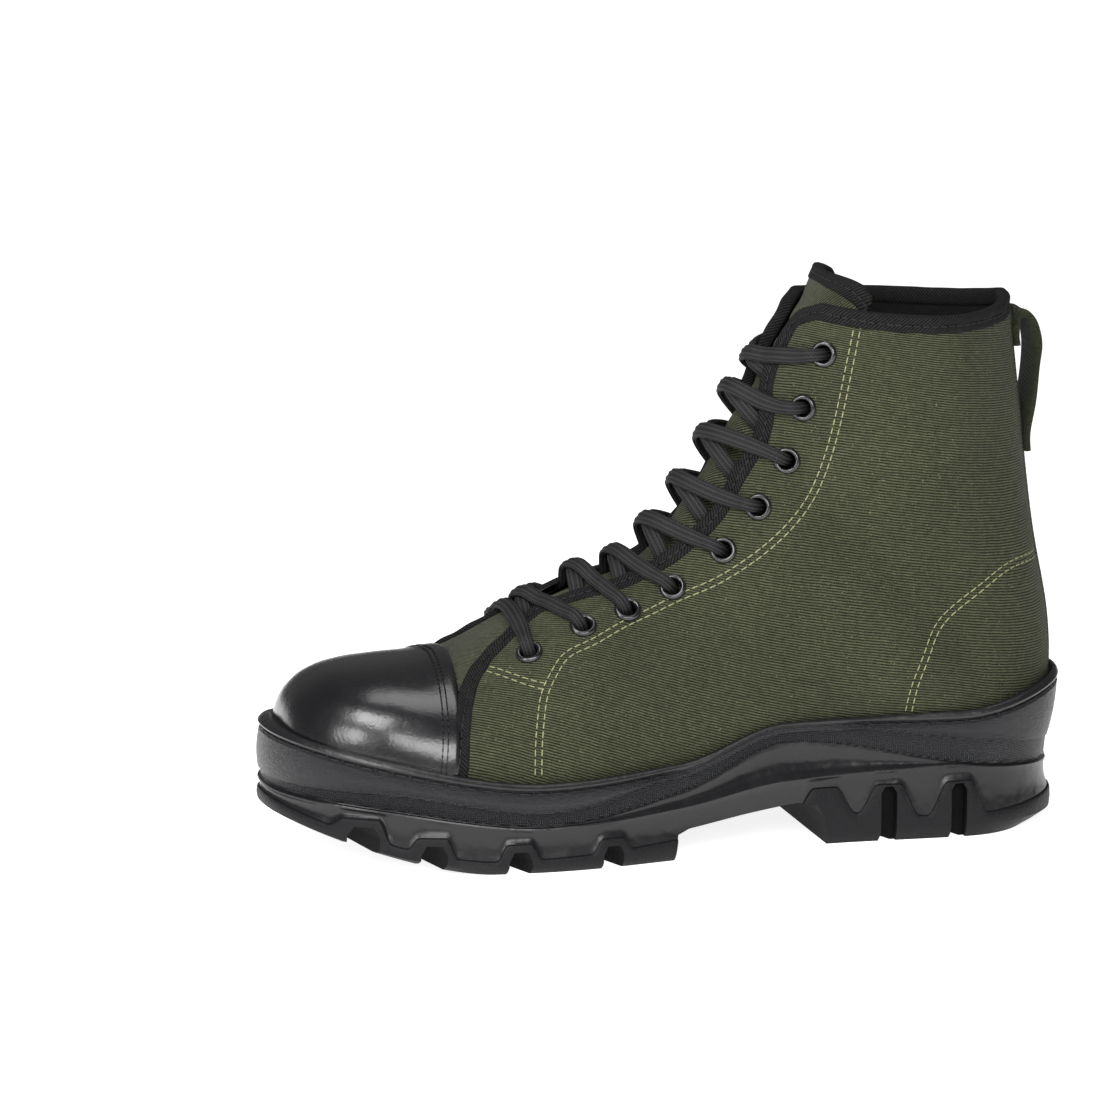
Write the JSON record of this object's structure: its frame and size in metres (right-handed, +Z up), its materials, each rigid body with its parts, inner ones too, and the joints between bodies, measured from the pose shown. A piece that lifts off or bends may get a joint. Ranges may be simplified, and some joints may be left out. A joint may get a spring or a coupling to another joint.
{
  "type": "jungle boot",
  "caption": "Ankle-high laced canvas boot with a leather toe cap, a soft tongue, a pull loop behind and a cleated rubber sole.",
  "frame": {"origin": "floor under the middle of the heel, on the heel's tread", "axes": "+X to the toe, +Y to the outer side of this left boot, +Z up"},
  "size_m": [0.3044, 0.1147, 0.2106],
  "materials": {
    "sole_rubber": "satin moulded rubber with grained and knurled bands",
    "upper_canvas": "matt olive green drill with black binding and pale green stitching",
    "cap_leather": "glossy black leather",
    "tongue_canvas": "matt olive green drill with a black bound edge",
    "insole_board": "matt black sock cloth",
    "loop_canvas": "matt olive green drill, folded double",
    "eyelet_metal": "glossy black enamel",
    "lace_cord": "matt black braided cord"
  },
  "bodies": {
    "root": {"sole": "sole_rubber", "upper": "upper_canvas", "toe_cap": "cap_leather", "tongue": "tongue_canvas", "insole": "insole_board", "pull_loop": "loop_canvas", "eyelet_outer_1": "eyelet_metal", "eyelet_outer_2": "eyelet_metal", "eyelet_outer_3": "eyelet_metal", "eyelet_outer_4": "eyelet_metal", "eyelet_outer_5": "eyelet_metal", "eyelet_outer_6": "eyelet_metal", "eyelet_outer_7": "eyelet_metal", "eyelet_outer_8": "eyelet_metal", "eyelet_outer_9": "eyelet_metal", "eyelet_inner_1": "eyelet_metal", "eyelet_inner_2": "eyelet_metal", "eyelet_inner_3": "eyelet_metal", "eyelet_inner_4": "eyelet_metal", "eyelet_inner_5": "eyelet_metal", "eyelet_inner_6": "eyelet_metal", "eyelet_inner_7": "eyelet_metal", "eyelet_inner_8": "eyelet_metal", "eyelet_inner_9": "eyelet_metal", "lace_bar": "lace_cord", "lace_cross_1": "lace_cord", "lace_cross_2": "lace_cord", "lace_cross_3": "lace_cord", "lace_cross_4": "lace_cord", "lace_cross_5": "lace_cord", "lace_cross_6": "lace_cord", "lace_cross_7": "lace_cord", "lace_cross_8": "lace_cord"}
  },
  "joints": []
}
